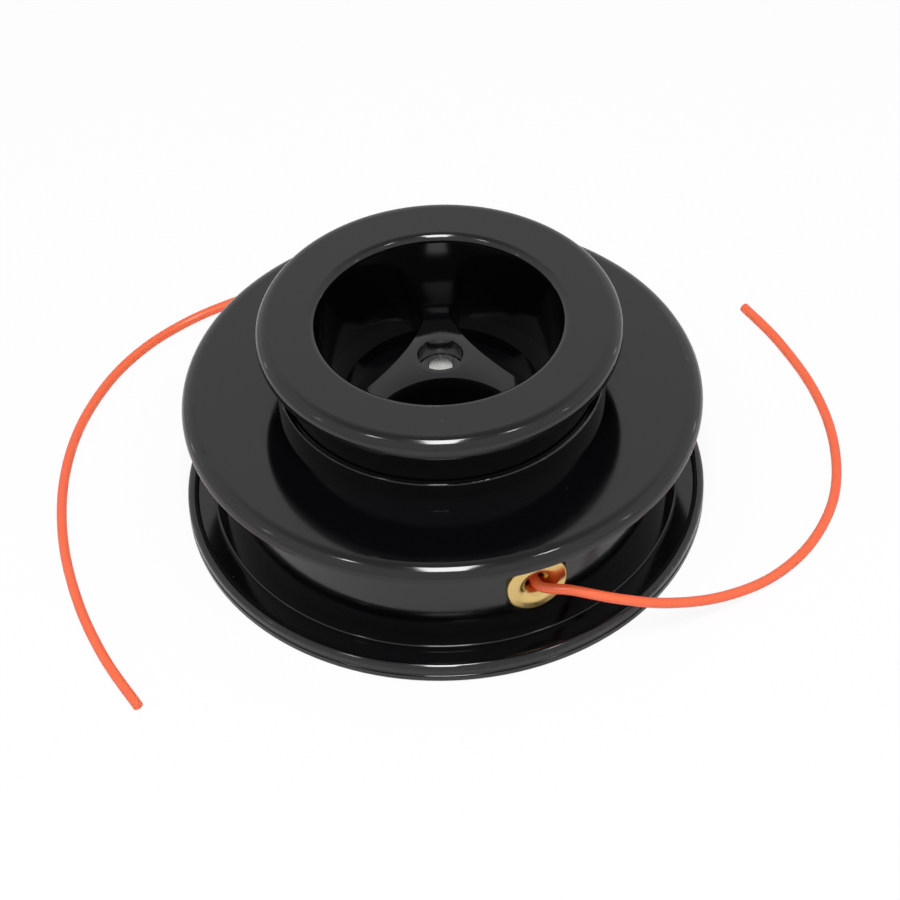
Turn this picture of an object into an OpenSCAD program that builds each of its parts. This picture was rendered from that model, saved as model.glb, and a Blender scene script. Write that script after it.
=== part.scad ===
// Tap-feed trimmer head, standing on its gearbox side with the tap knob up.
// Millimetres; the origin is on the axis, at the height of the surface it stands on.

/* [Casing] */
// Outside diameter of the drum between the flanges
drum_d = 105; // [103:0.5:107]
// How far the upper flange stands out from the drum
flange_over = 7.5; // [5:0.1:12]
// Height of the upper flange's face above the ground
casing_h = 34; // [33:0.5:42]
// Thickness of the upper flange, and the radius of its rounded edge
flange_t = 3.6; // [3:0.1:4.5]
// Wall of the drum
drum_wall = 2.5; // [2:0.1:3.2]
// Height of the collar round the knob's neck
collar_h = 4.3; // [2:0.1:6]
// Wall of the collar
collar_wall = 1.2; // [1:0.1:2.5]
// Width of the foot ring on which the drum stands
foot_w = 2.4; // [1.5:0.1:4]
// Height of the foot ring
foot_h = 1.1; // [0.8:0.1:2]

/* [Base plate] */
// Thickness of the floor inside the drum
floor_t = 2; // [1.6:0.1:3]
// Height of the ribs on the gearbox side
rib_h = 1.6; // [1:0.1:3]
// Thickness of the ribs on the gearbox side
rib_t = 1.6; // [1.2:0.1:2.5]
// Number of ribs on the gearbox side
rib_count = 12; // [8:1:16]
// Width of the flat between the foot ring and the bead
shelf_w = 3.7; // [2:0.1:9]
// Width of the bead that stands up round the lower flange
bead_w = 2.6; // [2:0.1:4]
// Height of that bead above the floor
bead_h = 1.2; // [0.5:0.1:2]
// Radius of the groove round the lower flange's edge
groove_r = 0.45; // [0.3:0.05:0.8]
// Outside diameter of the hub that holds the arbor nut
hub_d = 26; // [24:0.5:28]
// Height of that hub above the ground
hub_h = 11.5; // [10.5:0.1:13]
// Outside diameter of the tube that guides the spool
guide_d = 42.4; // [41.6:0.2:45]
// Wall of that tube
guide_wall = 2.2; // [1.6:0.1:2.4]
// Height of that tube above the floor
guide_h = 9.4; // [8.5:0.1:11]
// Number of snap hooks that hold the cover to the base plate
hook_count = 4; // [3:1:6]
// Width of a snap hook
hook_w = 7; // [5:0.5:10]
// Thickness of a snap hook
hook_t = 2.2; // [1.6:0.1:2.4]
// How far a hook's barb reaches under the floor
hook_reach = 1; // [0.6:0.1:1.4]
// Height of the barb
hook_barb = 0.9; // [0.6:0.1:0.9]

/* [Gearbox arbor] */
// Radius of the arbor nut's thread bore
arbor_r = 5; // [4:0.1:6]
// Height of the arbor nut
arbor_h = 8; // [6:0.1:9]
// Width of the arbor nut across its flats
arbor_af = 17; // [15:0.5:19]

/* [Knob] */
// Outside diameter of the knob's flange
knob_d = 82.8; // [78:0.2:90]
// Height of the knob's face above the upper flange
knob_rise = 20.2; // [18:0.1:24]
// Thickness of the knob's flange
ring_t = 4.9; // [4.2:0.1:7]
// Radius of the flange's upper outer edge
ring_edge_r = 2.9; // [1.5:0.1:3.4]
// Radius of the flange's lower outer edge
ring_under_r = 0.8; // [0.4:0.1:1.2]
// Diameter of the opening in the knob
mouth_d = 55.5; // [53:0.5:57]
// Radius of the opening's rounded lip
lip_r = 1.9; // [1:0.1:3]
// Outside diameter of the knob's neck
neck_d = 72.2; // [70:0.2:74]
// Wall of the neck's outer skirt
skirt_wall = 2.5; // [2:0.1:2.6]
// Number of ribs between the skirt and the cup
neck_rib_count = 6; // [3:1:12]
// Thickness of those ribs
neck_rib_t = 1.6; // [1.2:0.1:2.4]
// Depth from the knob's face to the ledge
ledge_depth = 24; // [20:0.5:26]
// Width of the ledge
ledge_w = 4.7; // [3:0.1:6]
// Depth of the finger pockets below the ledge
pocket_depth = 3.7; // [2:0.1:5]
// Thickness of the knob's floor
knob_floor_t = 2.9; // [2:0.1:3.5]

/* [Star web] */
// Depth from the knob's face to the top of the hub
star_depth = 11.5; // [9:0.1:14]
// Radius of each concave side of the star
side_r = 25.5; // [24:0.1:26.5]
// Distance of each side's centre from the axis
side_offset = 34.1; // [33.5:0.1:36]
// Direction of the first side's centre
side_angle = 32; // [0:1:119]
// Radius of the star's rounded edge
star_edge_r = 2.3; // [1:0.1:2.6]
// Radius of the star's crown, seen from the side
crown_r = 41; // [36:0.5:60]
// Radius of the flat top round the hub's hole
hub_flat_r = 6.3; // [6:0.1:8]
// Slope of the crown where that flat ends, in degrees
crown_slope = 6; // [2:1:10]
// Radius of the hole over the knob nut
hub_hole_r = 5.25; // [4.6:0.05:5.6]

/* [Spool] */
// Travel of the knob when it is tapped
travel = 6; // [4:0.5:6.5]
// Clearance left below the spool at the end of its travel
travel_gap = 0.7; // [0.5:0.1:1]
// Thickness of the spool's flanges
spool_flange_t = 1.8; // [1.4:0.1:2.4]
// Thickness of the divider between the two lines
divider_t = 1.5; // [1:0.1:2]
// Wall of the spool's core
core_wall = 2; // [1.6:0.1:2.5]
// Thickness of the web under the knob
web_t = 2; // [1.6:0.1:2.4]
// Thickness of the ribs under the web
spool_rib_t = 1.6; // [1.2:0.1:2.4]
// Wall of the spool's hub
spool_hub_wall = 1.8; // [1.4:0.1:2.4]
// Number of index teeth
tooth_count = 12; // [8:1:14]
// Height of the index teeth
tooth_h = 2.2; // [1.5:0.1:2.6]
// Height of an index tooth at the low end of its ramp
tooth_toe = 0.4; // [0.2:0.1:0.8]
// Inner radius of the ring of index teeth
tooth_in_r = 40; // [38.5:0.5:41]
// Outer radius of the ring of index teeth
tooth_out_r = 47; // [45:0.5:48]
// Number of lugs that key the knob to the spool
lug_count = 3; // [2:1:6]
// Width of a lug
lug_w = 8; // [5:0.5:12]

/* [Bolt and spring] */
// Diameter of the knob bolt
bolt_d = 6; // [5:0.5:6]
// Width across the flats of the bolt's head and of the knob nut
bolt_af = 10; // [9:0.5:11]
// Height of the bolt's head
bolt_head_h = 4; // [3:0.1:4.2]
// Height of the knob nut
nut_h = 5; // [4:0.1:6]
// Depth from the top of the hub to the top of the knob nut
nut_depth = 4.7; // [3:0.1:6]
// Length of bolt that stands above the knob nut
bolt_end = 1; // [0.5:0.1:2]
// Thickness of the bolt's washer and of the thrust washer
washer_t = 1.2; // [1:0.1:1.4]
// Diameter of the spring's wire
wire_d = 2; // [1.6:0.1:2.4]
// Turns of the spring
spring_turns = 4.5; // [3:0.5:5]

/* [Line] */
// Diameter of the cutting line
line_d = 2.4; // [2:0.1:3]
// Direction of the first eyelet, seen from above
eyelet_angle = -68.5; // [-80:0.5:-60]
// Height of the eyelets' axes above the ground
eyelet_h = 17.7; // [15:0.1:20]
// Diameter of an eyelet's flange
eyelet_d = 14.6; // [12:0.1:16]
// Thickness of an eyelet's flange
eyelet_t = 1.2; // [0.8:0.1:1.5]
// Radius of an eyelet's throat
throat_r = 1.9; // [1.7:0.05:2.2]
// Radius of an eyelet's rounded mouth
mouth_r = 3.2; // [2:0.1:3.4]
// Outside radius of an eyelet's barrel
barrel_r = 4.2; // [3.8:0.1:5]
// Depth of line wound on the spool
wound_depth = 8.4; // [4.8:1.2:10.8]

/* [Hidden] */
$fn = 96;
// Overlap that joins two solids of one moulding
bond = 0.5;
// Gap round a piece that slides or turns, and round a loose one
run_gap = 0.3;
slip_gap = 0.1;

// Heights above the ground
floor_z = rib_h + floor_t;
bead_z = floor_z + bead_h;
roof_z = casing_h - flange_t;
collar_z = casing_h + collar_h;
knob_top_z = casing_h + knob_rise;
ring_z = knob_top_z - ring_t;
ledge_z = knob_top_z - ledge_depth;
pocket_z = ledge_z - pocket_depth;
web_z = pocket_z - knob_floor_t;
web_under_z = web_z - web_t;
star_z = knob_top_z - star_depth;
nut_z = star_z - nut_depth;
spool_z = roof_z - tooth_h - run_gap;
spool_under_z = floor_z + travel + travel_gap;
upper_line_z = spool_z - spool_flange_t;
lower_line_z = spool_under_z + spool_flange_t;
divider_z = (upper_line_z + lower_line_z - divider_t) / 2;
guide_z = floor_z + guide_h;

// Radii
drum_r = drum_d / 2;
flange_r = drum_r + flange_over;
base_r = drum_r + foot_w + shelf_w + bead_w;
drum_in_r = drum_r - drum_wall;
neck_r = neck_d / 2;
opening_r = neck_r + run_gap;
collar_r = opening_r + collar_wall;
knob_r = knob_d / 2;
cavity_r = mouth_d / 2;
well_r = neck_r - skirt_wall - core_wall - slip_gap;
core_r = well_r + core_wall;
cup_r = well_r - run_gap;
spool_r = drum_in_r - 0.8;
guide_in_r = guide_d / 2 - guide_wall;
spool_hub_r = guide_d / 2 + run_gap;
washer_r = guide_in_r - 0.6;
hub_r = hub_d / 2;
spring_r = (guide_in_r + hub_r) / 2 + 0.5;
bolt_washer_r = bolt_af * 0.65;

// Middle of the crown's arc, seen from the side
crown_x = hub_flat_r - crown_r * sin(crown_slope);
crown_z = star_z - crown_r * cos(crown_slope);
function crown_at(r) = crown_z + sqrt(crown_r * crown_r - pow(r - crown_x, 2));
// Height of the crown where a side comes nearest to the axis, and its slope towards the cavity's wall
side_near = side_offset - side_r;
side_far = (side_offset * side_offset + cavity_r * cavity_r - side_r * side_r) / (2 * side_offset);
side_z = crown_at(side_near);
side_slope = (side_z - crown_at(cavity_r)) / (side_far - side_near);

// The drum's flat seat for each eyelet, and the barrel's inner end
seat_depth = 0.5;
seat_r = drum_r - seat_depth;
barrel_end_r = drum_in_r - 0.3;

// Points along the middle of each line, from its eyelet to its cut end
front_route = [
    [18.4, -46.2, 17.3], [19.9, -48.9, 16.9], [22.8, -49.3, 16.2], [27, -49.6, 15.8], [37, -50, 12.9],
    [48.5, -47.8, 8.3], [61.5, -42.5, 3.8], [74, -34.8, 1.4], [84.4, -24.1, 1.2], [91.6, -9, 1.2],
    [93.7, 9.1, 1.2], [91.2, 27.3, 1.2], [84.7, 45.3, 1.2], [77.6, 58.5, 1.2]
];
rear_route = [
    [-18.4, 46.2, 17.3], [-20.2, 49.6, 16.9], [-23.5, 53.5, 16.2], [-31, 59.5, 13.6], [-42, 63.5, 9],
    [-54, 64, 4.4], [-65, 60.8, 1.5], [-75, 52, 1.2], [-83.2, 39.8, 1.2], [-89.3, 23.3, 1.2],
    [-91.6, 4.8, 1.2], [-90.1, -14.8, 1.2], [-85.2, -34.1, 1.2], [-78.2, -50.9, 1.2], [-69.7, -65.5, 1.2]
];

// A point on the curve through four points, t of the way from b to c
function along(a, b, c, d, t) =
    0.5 * (2 * b + (c - a) * t + (2 * a - 5 * b + 4 * c - d) * t * t + (3 * b - a - 3 * c + d) * t * t * t);
// A route with one more point between each two
function smooth_route(p) = [
    for (i = [0 : len(p) - 2], t = [0, 0.5])
        along(p[max(i - 1, 0)], p[i], p[i + 1], p[min(i + 2, len(p) - 1)], t),
    p[len(p) - 1]
];
function unit(v) = v / norm(v);

// A tube of radius r along points p, closed at both ends
module tube(p, r, sides = 8) {
    last = len(p) - 1;
    rings = [
        for (i = [0 : last])
            let (ahead = unit(p[min(i + 1, last)] - p[max(i - 1, 0)]),
                 side = unit(cross(ahead, [0, 0, 1])), up = cross(side, ahead))
            for (k = [0 : sides - 1])
                p[i] + r * (cos(360 * (k + 0.5) / sides) * side + sin(360 * (k + 0.5) / sides) * up)
    ];
    walls = [
        for (i = [0 : last - 1], k = [0 : sides - 1])
            [i * sides + k, i * sides + (k + 1) % sides, (i + 1) * sides + (k + 1) % sides, (i + 1) * sides + k]
    ];
    near_end = [for (k = [sides - 1 : -1 : 0]) k];
    far_end = [for (k = [0 : sides - 1]) last * sides + k];
    polyhedron(points = rings, faces = concat(walls, [near_end, far_end]), convexity = 6);
}

// A band of the section between two radii and two heights
module band(r0, r1, z0, z1) {
    translate([r0, z0]) square([r1 - r0, z1 - z0]);
}

// The corner between a square edge and its rounding, in a section; x and y point into the material
module corner(r, z, radius, x, y) {
    translate([r, z]) mirror([x < 0 ? 1 : 0, 0]) mirror([0, y < 0 ? 1 : 0])
        difference() {
            translate([-1, -1]) square(radius + 1);
            translate([radius, radius]) circle(radius);
        }
}

// One saw tooth of an index ring: it stands on the plane z = 0, and its upright face looks back
module index_tooth() {
    width = PI * tooth_in_r / tooth_count - 1;
    translate([tooth_in_r, -width / 2, 0]) rotate([90, 0, 90]) linear_extrude(tooth_out_r - tooth_in_r)
        polygon([[0, -bond], [width, -bond], [width, tooth_toe], [0, tooth_h]]);
}

module at_eyelet(turn) {
    translate([0, 0, eyelet_h]) rotate([0, 90, eyelet_angle + turn]) children();
}

// Lower flange, hub and spool guide, moulded in one
module base_plate() {
    color("#1b1b1d") difference() {
        union() {
            rotate_extrude() difference() {
                union() {
                    band(0, base_r, rib_h, floor_z);
                    band(base_r - bead_w, base_r, 0, bead_z);
                    band(0, hub_r, 0, hub_h);
                    band(guide_in_r, guide_d / 2, 0, guide_z);
                }
                corner(base_r, bead_z, bead_w / 2, -1, -1);
                corner(base_r - bead_w, bead_z, min(bead_w / 2, bead_h) - 0.05, 1, -1);
                corner(base_r, 0, 0.6, -1, 1);
                translate([base_r, (bead_z - bead_w / 2) * 0.6]) circle(groove_r);
            }
            for (i = [0 : rib_count - 1])
                rotate(360 * (i + 0.5) / rib_count) translate([hub_r - bond, -rib_t / 2, 0])
                    cube([base_r - bead_w - hub_r + 2 * bond, rib_t, rib_h + bond]);
        }
        translate([0, 0, -1]) cylinder(h = arbor_h + 1, d = arbor_af / cos(30), $fn = 6);
        cylinder(h = hub_h + 1, r = bolt_af / cos(30) / 2 + 0.8);
        for (i = [0 : hook_count - 1]) rotate(360 * i / hook_count) hook_slot();
    }
}

// Slot in the floor for one of the cover's hooks
module hook_slot() {
    translate([drum_in_r - slip_gap, -hook_w / 2 - run_gap, -1])
        cube([hook_t + hook_reach + 2 * slip_gap, hook_w + 2 * run_gap, floor_z + 2]);
}

// Hook below the drum's wall, whose barb holds under the floor
module hook() {
    translate([drum_in_r, hook_w / 2, 0]) rotate([90, 0, 0]) linear_extrude(hook_w)
        polygon([
            [0, floor_z + bond], [0, rib_h - 0.05], [-hook_reach, rib_h - 0.05],
            [0, rib_h - hook_barb], [hook_t, rib_h - hook_barb], [hook_t, floor_z + bond]
        ]);
}

// Upper flange, collar and drum, moulded in one
module drum_cover() {
    color("#1b1b1d") difference() {
        union() {
            rotate_extrude() difference() {
                union() {
                    band(opening_r, flange_r, roof_z, casing_h);
                    band(opening_r, collar_r, roof_z, collar_z);
                    band(drum_in_r, drum_r, floor_z, roof_z + bond);
                    band(drum_in_r, drum_r + foot_w, floor_z, floor_z + foot_h);
                }
                corner(flange_r, casing_h, flange_t - 0.3, -1, -1);
                corner(collar_r, collar_z, 0.4, -1, -1);
                corner(drum_r + foot_w, floor_z + foot_h, 0.4, -1, -1);
            }
            for (i = [0 : tooth_count - 1])
                rotate(360 * i / tooth_count) translate([0, 0, roof_z]) mirror([0, 0, 1]) index_tooth();
            for (i = [0 : hook_count - 1]) rotate(360 * i / hook_count) hook();
        }
        for (turn = [0, 180]) at_eyelet(turn) {
            translate([0, 0, seat_r]) cylinder(h = 5, r = eyelet_d / 2 + 1.2);
            translate([0, 0, drum_in_r - 5]) cylinder(h = 12, r = barrel_r + 0.05);
        }
    }
}

// Steel nut pressed into the hub from below; it takes the gearbox's shaft
module arbor_nut() {
    color("#b9babc") difference() {
        cylinder(h = arbor_h, d = arbor_af / cos(30), $fn = 6);
        translate([0, 0, -1]) cylinder(h = arbor_h + 2, r = arbor_r);
    }
}

// Brass bush with a flange and a rounded mouth
module eyelet(turn) {
    face = seat_r + eyelet_t;
    color("#d8b35a") at_eyelet(turn) rotate_extrude() difference() {
        union() {
            band(throat_r, barrel_r, barrel_end_r, face);
            band(throat_r, eyelet_d / 2, seat_r, face);
        }
        corner(throat_r, face, mouth_r, 1, -1);
        corner(eyelet_d / 2, face, eyelet_t / 2, -1, -1);
    }
}
module eyelet_front() { eyelet(0); }
module eyelet_rear() { eyelet(180); }

// Spring between the floor and the thrust washer; its end turns lie closed
module compression_spring() {
    low = floor_z + wire_d / 2;
    high = web_under_z - slip_gap - washer_t - wire_d / 2;
    steps = 24 * spring_turns;
    rise = high - low - 2 * wire_d * 0.6;
    color("#a9abae") tube([
        for (i = [0 : steps])
            let (a = 360 * i / 24, lead = min(max(a - 270, 0), 360 * spring_turns - 540),
                 ends = min(a, 270) / 270 + max(a - 360 * spring_turns + 270, 0) / 270)
            [spring_r * cos(a), spring_r * sin(a),
             low + wire_d * 0.6 * ends + rise * lead / (360 * spring_turns - 540)]
    ], wire_d / 2);
}

// Washer between the spring and the turning spool
module thrust_washer() {
    color("#c4c5c7") translate([0, 0, web_under_z - slip_gap - washer_t]) difference() {
        cylinder(h = washer_t, r = washer_r);
        translate([0, 0, -1]) cylinder(h = washer_t + 2, r = hub_r + 1);
    }
}

// Spool for two lines, with its index teeth and the well that takes the knob
module spool() {
    color("#232325") difference() {
        union() {
            rotate_extrude() {
                band(well_r, core_r, spool_under_z, spool_z);
                band(core_r - bond, spool_r, upper_line_z, spool_z);
                band(core_r - bond, spool_r, divider_z, divider_z + divider_t);
                band(core_r - bond, spool_r, spool_under_z, lower_line_z);
                band(bolt_d / 2 + 0.2, core_r - bond, web_under_z, web_z);
                band(spool_hub_r, spool_hub_r + spool_hub_wall, spool_under_z, web_z);
            }
            for (i = [0 : tooth_count - 1])
                rotate(360 * (i + 0.5) / tooth_count) translate([0, 0, spool_z]) mirror([0, 1, 0]) index_tooth();
            for (i = [0 : 5])
                rotate(60 * i + 30) translate([spool_hub_r + bond, -spool_rib_t / 2, spool_under_z])
                    cube([core_r - spool_hub_r - 2 * bond, spool_rib_t, web_z - spool_under_z - bond]);
        }
        for (i = [0 : lug_count - 1]) rotate(360 * i / lug_count + side_angle) lug_notch();
    }
}

// One lug under the neck's skirt
module lug() {
    translate([core_r + run_gap, -lug_w / 2, upper_line_z + run_gap])
        cube([neck_r - core_r - 3 * run_gap, lug_w, spool_flange_t - run_gap + bond]);
}

// Notch through the spool's upper flange that takes a lug
module lug_notch() {
    translate([core_r - bond, -lug_w / 2 - slip_gap, upper_line_z - bond])
        cube([neck_r - core_r + bond - run_gap, lug_w + 2 * slip_gap, spool_flange_t + 2 * bond]);
}

// Turns of line, wound side by side in one half of the spool
module wound_line(z0, z1) {
    rows = floor((z1 - z0) / line_d);
    start = (z0 + z1 - rows * line_d) / 2;
    outer = core_r + wound_depth - line_d / 2;
    color("#f0563a") rotate_extrude() {
        band(core_r, outer, start, start + rows * line_d);
        for (i = [0 : rows - 1])
            translate([outer, start + line_d * (i + 0.5)]) circle(line_d / 2, $fn = 24);
    }
}
module wound_line_upper() { wound_line(divider_z + divider_t, upper_line_z); }
module wound_line_lower() { wound_line(lower_line_z, divider_z); }

// Tap knob: flange, double-walled neck, cavity and star web, moulded in one
module knob() {
    color("#1b1b1d") difference() {
        union() {
            rotate_extrude() difference() {
                union() {
                    band(cavity_r, knob_r, ring_z, knob_top_z);
                    band(cavity_r, neck_r, spool_z, ring_z + bond);
                    band(cavity_r - bond, cup_r, web_z, spool_z + bond);
                    band(cavity_r - ledge_w, cavity_r, pocket_z - bond, ledge_z);
                    band(0, cup_r, web_z, pocket_z);
                }
                corner(knob_r, knob_top_z, ring_edge_r, -1, -1);
                corner(knob_r, ring_z, ring_under_r, -1, 1);
                corner(cavity_r, knob_top_z, lip_r, 1, -1);
            }
            star_web();
            for (i = [0 : lug_count - 1]) rotate(360 * i / lug_count + side_angle) lug();
        }
        core_out();
        cylinder(h = nut_z, r = bolt_d / 2 + 0.1);
        translate([0, 0, nut_z - nut_h]) cylinder(h = nut_h, d = bolt_af / cos(30), $fn = 6);
        translate([0, 0, nut_z - bond]) cylinder(h = star_depth, r = hub_hole_r);
    }
}

// Pockets that hollow the neck from below, between its skirt and the cup, with ribs left between them
module core_out() {
    difference() {
        rotate_extrude() band(cup_r, neck_r - skirt_wall, spool_z - 1, ring_z - 2);
        for (i = [0 : neck_rib_count - 1])
            rotate(360 * (i + 0.5) / neck_rib_count) translate([cup_r - 1, -neck_rib_t / 2, spool_z + 1])
                cube([skirt_wall + core_wall + 1, neck_rib_t, knob_rise]);
    }
}

// Hub and three arms, whose tops fall away from the hub to the cavity's wall
module star_web() {
    difference() {
        rotate_extrude() intersection() {
            band(0, cavity_r + bond, pocket_z - bond, star_z);
            union() {
                band(0, hub_flat_r, pocket_z - bond, star_z);
                translate([crown_x, crown_z]) circle(crown_r, $fn = 180);
            }
        }
        for (i = [0 : 2]) rotate(side_angle + 120 * i) translate([side_offset, 0, 0]) pocket_cutter();
    }
}

// Cutter for one side of the star: a cylinder whose flared top leans with the crown and rounds the edge
module pocket_cutter() {
    translate([0, 0, pocket_z - 1]) cylinder(h = star_depth + star_z, r = side_r);
    intersection() {
        multmatrix([[1, 0, 0, 0], [0, 1, 0, 0], [-side_slope, 0, 1, side_z - side_slope * side_r], [0, 0, 0, 1]])
            rotate_extrude() difference() {
                band(0, side_r + star_edge_r, -star_edge_r, 8);
                translate([side_r + star_edge_r, -star_edge_r]) circle(star_edge_r);
            }
        translate([-2 * side_offset, -side_offset, pocket_z]) cube([2 * side_offset, 2 * side_offset, star_z]);
    }
}

// Hexagonal nut moulded into the knob's hub
module knob_nut() {
    color("#d5d7d9") translate([0, 0, nut_z - nut_h]) difference() {
        intersection() {
            cylinder(h = nut_h, d = bolt_af / cos(30), $fn = 6);
            cylinder(h = nut_h, r1 = bolt_af / 2 + nut_h * 1.7, r2 = bolt_af / 2);
        }
        translate([0, 0, -1]) cylinder(h = nut_h + 2, r = bolt_d / 2);
    }
}

// Bolt that clamps the knob to the spool
module knob_bolt() {
    head_z = web_under_z - washer_t;
    color("#e3e4e6") {
        translate([0, 0, head_z - bolt_head_h])
            cylinder(h = bolt_head_h, d = bolt_af / cos(30), $fn = 6);
        translate([0, 0, head_z - bond]) cylinder(h = nut_z + bolt_end - head_z + bond - 0.3, r = bolt_d / 2);
        translate([0, 0, nut_z + bolt_end - 0.3]) cylinder(h = 0.3, r1 = bolt_d / 2, r2 = bolt_d / 2 - 0.3);
    }
}

// Washer under the bolt's head
module bolt_washer() {
    color("#c4c5c7") translate([0, 0, web_under_z - washer_t]) difference() {
        cylinder(h = washer_t, r = bolt_washer_r);
        translate([0, 0, -1]) cylinder(h = washer_t + 2, r = bolt_d / 2 + 0.2);
    }
}

module line_tail_front() { color("#f0563a") tube(smooth_route(front_route), line_d / 2); }
module line_tail_rear() { color("#f0563a") tube(smooth_route(rear_route), line_d / 2); }

base_plate();
arbor_nut();
drum_cover();
eyelet_front();
eyelet_rear();
compression_spring();
thrust_washer();
spool();
wound_line_upper();
wound_line_lower();
knob();
knob_nut();
knob_bolt();
bolt_washer();
line_tail_front();
line_tail_rear();
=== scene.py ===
"""Trimmer head on a white table: the looks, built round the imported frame.

Metres in Blender; the makers below take millimetres, as a drawing of the part would.
"""
import math

import bpy
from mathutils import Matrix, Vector


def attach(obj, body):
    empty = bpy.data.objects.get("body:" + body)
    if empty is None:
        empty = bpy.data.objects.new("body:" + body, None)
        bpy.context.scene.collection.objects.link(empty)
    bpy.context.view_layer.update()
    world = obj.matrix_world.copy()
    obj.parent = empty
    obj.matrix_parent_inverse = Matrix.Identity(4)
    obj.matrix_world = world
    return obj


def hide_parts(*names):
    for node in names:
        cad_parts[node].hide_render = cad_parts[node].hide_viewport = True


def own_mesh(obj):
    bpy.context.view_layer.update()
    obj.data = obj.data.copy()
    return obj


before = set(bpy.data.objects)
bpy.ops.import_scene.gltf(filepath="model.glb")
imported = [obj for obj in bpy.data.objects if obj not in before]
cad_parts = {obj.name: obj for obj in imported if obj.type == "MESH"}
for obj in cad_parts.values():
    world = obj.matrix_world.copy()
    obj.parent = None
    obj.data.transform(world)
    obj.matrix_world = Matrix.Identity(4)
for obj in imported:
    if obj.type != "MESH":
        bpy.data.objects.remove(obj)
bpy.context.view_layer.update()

MM = 0.001
SCENE = bpy.context.scene

# Camera

# A long lens looks down at 44 degrees, and the picture leans by 2 degrees
camera_data = bpy.data.cameras.new("camera")
camera_data.sensor_width = 36
camera_data.lens = 104.04
camera = bpy.data.objects.new("camera", camera_data)
camera.location = (0.00133, -0.43738, 0.44124)
camera.rotation_euler = [math.radians(a) for a in (45.517, 1.656, -1.625)]
SCENE.collection.objects.link(camera)
SCENE.camera = camera

# Cutting line, its two free ends

FRONT_ROUTE = [
    (18.4, -46.2, 17.3), (19.9, -48.9, 16.9), (22.8, -49.3, 16.2), (27, -49.6, 15.8), (37, -50, 12.9),
    (48.5, -47.8, 8.3), (61.5, -42.5, 3.8), (74, -34.8, 1.4), (84.4, -24.1, 1.2), (91.6, -9, 1.2),
    (93.7, 9.1, 1.2), (91.2, 27.3, 1.2), (84.7, 45.3, 1.2), (77.6, 58.5, 1.2),
]
REAR_ROUTE = [
    (-18.4, 46.2, 17.3), (-20.2, 49.6, 16.9), (-23.5, 53.5, 16.2), (-31, 59.5, 13.6), (-42, 63.5, 9),
    (-54, 64, 4.4), (-65, 60.8, 1.5), (-75, 52, 1.2), (-83.2, 39.8, 1.2), (-89.3, 23.3, 1.2),
    (-91.6, 4.8, 1.2), (-90.1, -14.8, 1.2), (-85.2, -34.1, 1.2), (-78.2, -50.9, 1.2), (-69.7, -65.5, 1.2),
]
LINE_R = 1.2
CURVE_STEPS = 8

# Sizes that the drawing of the part gives as well: the front bush's place
EYELET_ANGLE = -68.5
EYELET_H = 17.7
# Points of the import that lie this close are one
SAME_PLACE = 0.001 * MM
SMOOTH_BELOW = math.radians(40)


def smooth(route, steps):
    """More points along a route, on the curve that passes through all of its points."""
    p = [Vector(q) for q in route]
    out = []
    for i in range(len(p) - 1):
        a, b, c, d = p[max(i - 1, 0)], p[i], p[i + 1], p[min(i + 2, len(p) - 1)]
        for k in range(steps):
            t = k / steps
            out.append(0.5 * (2 * b + (c - a) * t + (2 * a - 5 * b + 4 * c - d) * t * t
                              + (3 * b - a - 3 * c + d) * t ** 3))
    return out + [p[-1]]


def line_tail(name, route, node):
    """One free end of the line, cut square, on its eyelet's body."""
    points = [q * MM for q in smooth(route, CURVE_STEPS)]
    curve = bpy.data.curves.new(name, "CURVE")
    curve.dimensions = "3D"
    spline = curve.splines.new("POLY")
    spline.points.add(len(points) - 1)
    for slot_point, q in zip(spline.points, points):
        slot_point.co = (*q, 1)
        slot_point.radius = LINE_R * MM
    spline.use_smooth = True
    # The line's own radius is on its points, so the bevel that it multiplies is one
    curve.bevel_depth = 1
    curve.bevel_resolution = 7
    curve.use_fill_caps = True
    tail = bpy.data.objects.new(name, curve)
    SCENE.collection.objects.link(tail)
    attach(tail, "casing")
    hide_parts(node)
    return tail


tail_front = line_tail("line_end_front", FRONT_ROUTE, "line_tail_front")
tail_rear = line_tail("line_end_rear", REAR_ROUTE, "line_tail_rear")

# Spring


def pressed_spring():
    """The coil spring: a copy of the imported one with its doubled points merged and smooth shading, on the
    casing.
    """
    bpy.ops.object.select_all(action="DESELECT")
    coil = bpy.data.objects.new("spring_coil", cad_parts["compression_spring"].data.copy())
    SCENE.collection.objects.link(coil)
    coil.select_set(True)
    bpy.context.view_layer.objects.active = coil
    bpy.ops.object.mode_set(mode="EDIT")
    bpy.ops.mesh.select_all(action="SELECT")
    bpy.ops.mesh.remove_doubles(threshold=SAME_PLACE)
    bpy.ops.object.mode_set(mode="OBJECT")
    bpy.ops.object.shade_smooth_by_angle(angle=SMOOTH_BELOW)
    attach(coil, "casing")
    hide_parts("compression_spring")
    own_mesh(coil)
    return coil


spring_coil = pressed_spring()

# Materials

def linear(hex_colour):
    """An sRGB colour written in hex, as the linear numbers that a shader takes."""
    parts = [int(hex_colour[i:i + 2], 16) / 255 for i in (1, 3, 5)]
    return tuple(c / 12.92 if c <= 0.04045 else ((c + 0.055) / 1.055) ** 2.4 for c in parts) + (1.0,)


def add(tree, kind, inputs=None, **settings):
    """One node with its settings, its values and its links."""
    node = tree.nodes.new(kind)
    for key, value in settings.items():
        setattr(node, key, value)
    for name, value in (inputs or {}).items():
        if isinstance(value, bpy.types.NodeSocket):
            tree.links.new(value, node.inputs[name])
        else:
            node.inputs[name].default_value = value
    return node


def per_metre(size_mm):
    """A texture's scale for a pattern that repeats every size_mm."""
    return 1000 / size_mm


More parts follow.
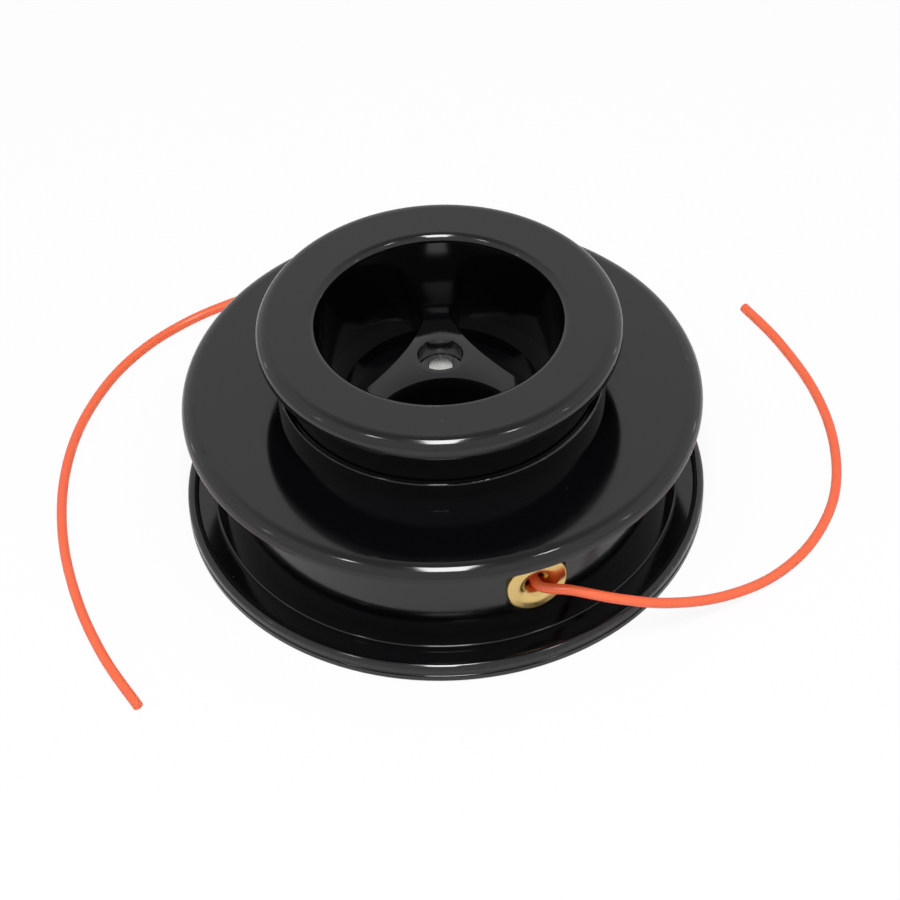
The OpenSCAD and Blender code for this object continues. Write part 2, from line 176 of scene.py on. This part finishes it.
def new_material(name, colour, roughness, metallic=0.0):
    """A named material whose shader has its plain values, and the object's own coordinates."""
    material = bpy.data.materials.new(name)
    material.use_nodes = True
    tree = material.node_tree
    shader = tree.nodes["Principled BSDF"]
    shader.inputs["Base Color"].default_value = linear(colour)
    shader.inputs["Roughness"].default_value = roughness
    shader.inputs["Metallic"].default_value = metallic
    return material, tree, shader, add(tree, "ShaderNodeTexCoord").outputs["Object"]


def uneven_gloss(tree, shader, place, size_mm, low, high):
    """Roughness that wanders between two values over patches of size_mm."""
    patches = add(tree, "ShaderNodeTexNoise", {"Vector": place, "Scale": per_metre(size_mm), "Detail": 4.0})
    spread = add(tree, "ShaderNodeMapRange", {"Value": patches.outputs["Fac"], "From Min": 0.3,
                                              "From Max": 0.7, "To Min": low, "To Max": high})
    tree.links.new(spread.outputs["Result"], shader.inputs["Roughness"])
    return spread.outputs["Result"]


def skin_bump(tree, shader, place, size_mm, depth_mm, before=None):
    """Relief of depth_mm in a pattern of size_mm, on top of another relief if one is given."""
    relief = add(tree, "ShaderNodeTexNoise", {"Vector": place, "Scale": per_metre(size_mm), "Detail": 2.0})
    bump = add(tree, "ShaderNodeBump", {"Height": relief.outputs["Fac"], "Strength": 1.0,
                                        "Distance": depth_mm * MM})
    if before:
        tree.links.new(before.outputs["Normal"], bump.inputs["Normal"])
    tree.links.new(bump.outputs["Normal"], shader.inputs["Normal"])
    return bump


def moulded_nylon(name, colour, low, high):
    """Glass-filled nylon from a polished mould: a deep gloss that dulls a little in patches, a faint
    ripple where the skin shrank, and a few specks of dust that the charged plastic holds."""
    material, tree, shader, place = new_material(name, colour, low)
    shader.inputs["IOR"].default_value = 1.53
    gloss = uneven_gloss(tree, shader, place, 14, low, high)
    ripple = skin_bump(tree, shader, place, 9, 0.012)
    skin_bump(tree, shader, place, 0.45, 0.0011, ripple)
    dust = add(tree, "ShaderNodeTexVoronoi", {"Vector": place, "Scale": per_metre(4.5)})
    kept = add(tree, "ShaderNodeSeparateColor", {"Color": dust.outputs["Color"]})
    speck_size = add(tree, "ShaderNodeMapRange", {"Value": kept.outputs["Red"], "From Min": 0.55,
                                                  "From Max": 1.0, "To Min": 0.0, "To Max": 0.035})
    speck = add(tree, "ShaderNodeMath", {0: dust.outputs["Distance"], 1: speck_size.outputs["Result"]},
                operation="LESS_THAN")
    dusty = add(tree, "ShaderNodeMix", {"Factor": speck.outputs["Value"]}, data_type="RGBA")
    dusty.inputs["A"].default_value = linear(colour)
    dusty.inputs["B"].default_value = linear("#6E6C68")
    tree.links.new(dusty.outputs["Result"], shader.inputs["Base Color"])
    dull = add(tree, "ShaderNodeMath", {0: speck.outputs["Value"], 1: 0.5, 2: gloss},
               operation="MULTIPLY_ADD")
    tree.links.new(dull.outputs["Value"], shader.inputs["Roughness"])
    return material


def drawn_line():
    """Nylon monofilament, drawn through a die: some light goes into it and scatters, a painted sheen makes
    it paler where it faces the lens and redder at its edges, and the die leaves faint lengthwise unevenness
    in the gloss."""
    material, tree, shader, place = new_material("nylon_monofilament_drawn", "#FB5630", 0.34)
    shader.inputs["IOR"].default_value = 1.53
    shader.inputs["Subsurface Weight"].default_value = 0.35
    shader.inputs["Subsurface Radius"].default_value = (1.0, 0.35, 0.12)
    shader.inputs["Subsurface Scale"].default_value = 1.2 * MM
    uneven_gloss(tree, shader, place, 3, 0.28, 0.42)
    skin_bump(tree, shader, place, 1.6, 0.012)
    # Painted sheen: the colour is paler where the line faces the lens and redder where it turns away
    edge = add(tree, "ShaderNodeLayerWeight", {"Blend": 0.35})
    painted_sheen = add(tree, "ShaderNodeMix", {"Factor": edge.outputs["Facing"]}, data_type="RGBA")
    painted_sheen.inputs["A"].default_value = linear("#FF7448")
    painted_sheen.inputs["B"].default_value = linear("#EE4A22")
    tree.links.new(painted_sheen.outputs["Result"], shader.inputs["Base Color"])
    return material


# The real tool marks are too fine to show, so they are drawn this coarse, in millimetres
TOOL_MARK = 0.5


def turned_brass():
    """Pale brass, turned on a lathe and polished by the line that runs over it: fine rings about each
    bush's own axis, and a gloss that wanders."""
    material, tree, shader, place = new_material("brass_turned", "#DDBE7C", 0.2, metallic=1.0)
    uneven_gloss(tree, shader, place, 2.5, 0.14, 0.27)
    axis_up = add(tree, "ShaderNodeVectorRotate", {"Vector": place, "Angle": math.radians(-90)},
                  rotation_type="AXIS_ANGLE")
    turn = math.radians(EYELET_ANGLE + 90)
    axis_up.inputs["Axis"].default_value = (math.cos(turn), math.sin(turn), 0)
    axis_up.inputs["Center"].default_value = (0, 0, EYELET_H * MM)
    centred = add(tree, "ShaderNodeVectorMath", {0: axis_up.outputs["Vector"], 1: (0, 0, -EYELET_H * MM)})
    ring_scale = per_metre(TOOL_MARK) / (2 * math.pi)
    rings = add(tree, "ShaderNodeTexWave", {"Vector": centred.outputs["Vector"], "Scale": ring_scale,
                                            "Distortion": 0.4}, wave_type="RINGS", rings_direction="Z")
    bump = add(tree, "ShaderNodeBump", {"Height": rings.outputs["Fac"], "Strength": 1.0,
                                        "Distance": 0.003 * MM})
    tree.links.new(bump.outputs["Normal"], shader.inputs["Normal"])
    return material


def plated_steel(name, colour, low, high):
    """Cold-formed steel with a bright zinc plate: clean and pale, with soft patches in its shine."""
    material, tree, shader, place = new_material(name, colour, low, metallic=1.0)
    uneven_gloss(tree, shader, place, 1.8, low, high)
    skin_bump(tree, shader, place, 0.7, 0.006)
    return material


FINISHES = {
    "black_nylon": moulded_nylon("nylon_glass_filled_moulded", "#08080A", 0.07, 0.13),
    "spool_nylon": moulded_nylon("nylon_unfilled_moulded", "#17171A", 0.3, 0.42),
    "orange_line": drawn_line(),
    "brass": turned_brass(),
    "zinc_steel": plated_steel("steel_zinc_plated", "#CFD1CE", 0.2, 0.32),
    "spring_steel": plated_steel("steel_spring_drawn_wire", "#8C8A86", 0.3, 0.42),
}

NODE_FINISH = {
    "base_plate": "black_nylon", "drum_cover": "black_nylon", "knob": "black_nylon",
    "spool": "spool_nylon", "thrust_washer": "spool_nylon",
    "wound_line_upper": "orange_line", "wound_line_lower": "orange_line",
    "eyelet_front": "brass", "eyelet_rear": "brass",
    "arbor_nut": "zinc_steel", "knob_nut": "zinc_steel", "knob_bolt": "zinc_steel",
    "bolt_washer": "zinc_steel",
}

for node_name, finish in NODE_FINISH.items():
    node_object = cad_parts[node_name]
    for material_slot in node_object.material_slots:
        material_slot.material = FINISHES[finish]
spring_coil.data.materials.clear()
spring_coil.data.materials.append(FINISHES["spring_steel"])
for tail in (tail_front, tail_rear):
    tail.data.materials.append(FINISHES["orange_line"])

# Studio

WHITE = (1.0, 1.0, 1.0, 1.0)
AMBIENT = 0.38
FLOOR_GLOW = 0.9
TABLE_SIDE = 4
TABLE_GAP = 0.02 * MM
LAMP_DISTANCE = 0.9
CENTRE = Vector((0, 0, 30 * MM))


def white_room():
    """A white room: the lens sees plain white, gloss sees white walls under a dimmer ceiling, and the
    light that reaches matt surfaces from it is soft and weaker, because the lamps give the rest."""
    world = bpy.data.worlds.new("white_room")
    SCENE.world = world
    world.use_nodes = True
    tree = world.node_tree
    tree.nodes.clear()
    ray = add(tree, "ShaderNodeLightPath")
    direction = add(tree, "ShaderNodeTexCoord").outputs["Generated"]
    height = add(tree, "ShaderNodeSeparateXYZ", {"Vector": direction}).outputs["Z"]
    walls = add(tree, "ShaderNodeValToRGB", {"Fac": height})
    stops = ((0.0, 0.87), (0.74, 0.87), (0.86, 0.6), (0.95, 0.42))
    while len(walls.color_ramp.elements) < len(stops):
        walls.color_ramp.elements.new(0.5)
    for element, (sine, grey) in zip(walls.color_ramp.elements, stops):
        element.position = sine
        element.color = (grey, grey, grey, 1)
    soft = add(tree, "ShaderNodeBackground", {"Color": WHITE, "Strength": AMBIENT})
    seen_in_gloss = add(tree, "ShaderNodeBackground", {"Color": walls.outputs["Color"], "Strength": 1.0})
    seen_by_lens = add(tree, "ShaderNodeBackground", {"Color": WHITE, "Strength": 1.0})
    mirrored = add(tree, "ShaderNodeMath", {0: ray.outputs["Is Glossy Ray"],
                                            1: ray.outputs["Is Transmission Ray"]}, operation="MAXIMUM")
    in_room = add(tree, "ShaderNodeMixShader", {0: mirrored.outputs["Value"], 1: soft.outputs["Background"],
                                                2: seen_in_gloss.outputs["Background"]})
    seen = add(tree, "ShaderNodeMixShader", {0: ray.outputs["Is Camera Ray"], 1: in_room.outputs["Shader"],
                                             2: seen_by_lens.outputs["Background"]})
    add(tree, "ShaderNodeOutputWorld", {"Surface": seen.outputs["Shader"]})


def softbox(name, azimuth, elevation, width, height, level):
    """A flat lamp that faces the head. Its level is its brightness against white."""
    a, e = math.radians(azimuth), math.radians(elevation)
    towards = Vector((math.cos(e) * math.cos(a), math.cos(e) * math.sin(a), math.sin(e)))
    lamp = bpy.data.lights.new(name, "AREA")
    lamp.shape = "RECTANGLE"
    lamp.size = width
    lamp.size_y = height
    lamp.energy = level * math.pi * width * height
    lamp_object = bpy.data.objects.new(name, lamp)
    lamp_object.location = CENTRE + towards * LAMP_DISTANCE
    lamp_object.rotation_euler = towards.to_track_quat("Z", "Y").to_euler()
    SCENE.collection.objects.link(lamp_object)


def white_table():
    """A sheet of white card. The lens sees most of it as plain white, and the rest keeps the shadow."""
    bpy.ops.object.select_all(action="DESELECT")
    bpy.ops.mesh.primitive_plane_add(size=TABLE_SIDE, location=(0, 0, -TABLE_GAP))
    table = bpy.context.object
    table.name = "white_table"
    card = bpy.data.materials.new("card_white_matt")
    card.use_nodes = True
    tree = card.node_tree
    tree.nodes.clear()
    ray = add(tree, "ShaderNodeLightPath")
    share = add(tree, "ShaderNodeMath", {0: ray.outputs["Is Camera Ray"], 1: FLOOR_GLOW},
                operation="MULTIPLY")
    matt = add(tree, "ShaderNodeBsdfDiffuse", {"Color": linear("#F4F4F4")})
    plain = add(tree, "ShaderNodeEmission", {"Color": WHITE, "Strength": 1.0})
    mixed = add(tree, "ShaderNodeMixShader", {0: share.outputs["Value"], 1: matt.outputs["BSDF"],
                                              2: plain.outputs["Emission"]})
    add(tree, "ShaderNodeOutputMaterial", {"Surface": mixed.outputs["Shader"]})
    table.data.materials.append(card)


white_room()
white_table()
softbox("main_lamp", -92, 69, 0.19, 0.48, 20)
softbox("left_lamp", -141, 55, 0.063, 0.094, 17)
softbox("right_lamp", -36, 59, 0.063, 0.094, 17)
softbox("left_strip", -163, 21.5, 0.035, 0.17, 2.6)
softbox("right_strip", -17.5, 22, 0.035, 0.16, 3.3)
softbox("back_left_strip", 154, 3, 0.05, 0.14, 1.5)
softbox("back_right_strip", 26, 3, 0.05, 0.14, 1.5)

SCENE.view_settings.view_transform = "Standard"
